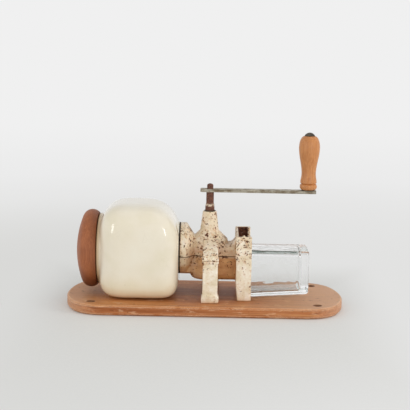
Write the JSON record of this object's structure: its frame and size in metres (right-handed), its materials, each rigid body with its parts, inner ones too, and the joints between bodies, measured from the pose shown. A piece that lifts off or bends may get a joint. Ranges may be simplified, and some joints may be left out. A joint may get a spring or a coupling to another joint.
{
  "type": "wall mount coffee grinder",
  "caption": "Hand cranked coffee mill on a wooden wall board, with a glazed ceramic hopper jar and wooden lid, a painted cast iron body and a sliding glass cup.",
  "frame": {"origin": "middle of the back face of the board, which lies against the wall", "axes": "+Z away from the wall, X along the board from the lid to the glass, so -X is up on the wall"},
  "size_m": [0.33, 0.138, 0.2087],
  "materials": {
    "board_wood": "oiled, worn",
    "cream_paint": "old enamel paint, chipped and rust spotted",
    "cream_glaze": "glossy glaze",
    "lid_wood": "turned, satin varnish",
    "handle_wood": "turned, waxed",
    "rusty_steel": "rusted",
    "worn_steel": "dull, pitted",
    "steel": "plain steel",
    "burr_iron": "machined iron",
    "bronze": "plain bronze",
    "black_rubber": "matte",
    "clear_glass": "pressed clear glass"
  },
  "bodies": {
    "frame": {"back_board": "board_wood", "rear_casting": "cream_paint", "front_casting": "cream_paint", "through_bolts": "steel", "foot_screws": "steel", "hopper_jar": "cream_glaze", "jar_gasket": "black_rubber", "jar_screws": "steel", "jar_washers": "black_rubber", "outer_burr": "burr_iron", "burr_keys": "steel", "spindle_bush": "bronze", "tail_bush": "bronze", "spring_washer": "steel"},
    "drive": {"drive_washer": "steel", "burr_spring": "steel"},
    "adjuster": {"adjusting_nut": "rusty_steel"},
    "crank": {"spindle": "rusty_steel", "inner_burr": "burr_iron", "burr_pin": "steel", "crank_arm": "worn_steel", "arm_nut": "rusty_steel", "handle_pin": "steel", "handle_washer": "steel"},
    "handle": {"handle_knob": "handle_wood"},
    "lid": {"lid": "lid_wood", "lid_seal": "black_rubber"},
    "glass": {"glass_cup": "clear_glass"}
  },
  "joints": [
    {"name": "crank_spin", "type": "hinge", "parent": "frame", "child": "drive", "pos_m": [0.0045, 0, 0.1135], "axis": [0, 0, 1], "continuous": true},
    {"name": "nut_turn", "type": "hinge", "parent": "drive", "child": "adjuster", "pos_m": [0.0045, 0, 0.1165], "axis": [0, 0, -1], "range_deg": [0, 432.5]},
    {"name": "burr_lift", "type": "slide", "parent": "drive", "child": "crank", "axis": [0, 0, 1], "range_m": [0, 0.0012], "deforming": ["burr_spring"]},
    {"name": "handle_spin", "type": "hinge", "parent": "crank", "child": "handle", "pos_m": [0.1209, 0, 0.17], "axis": [0, 0, 1], "continuous": true},
    {"name": "lid_pull", "type": "slide", "parent": "frame", "child": "lid", "axis": [-1, 0, 0], "range_m": [0, 0.045]},
    {"name": "glass_slide", "type": "slide", "parent": "frame", "child": "glass", "axis": [0, 0, 1], "range_m": [0, 0.066]}
  ],
  "couplings": [
    {"joint": "nut_turn", "follows": "burr_lift", "rad_per_m": 6283.2}
  ]
}
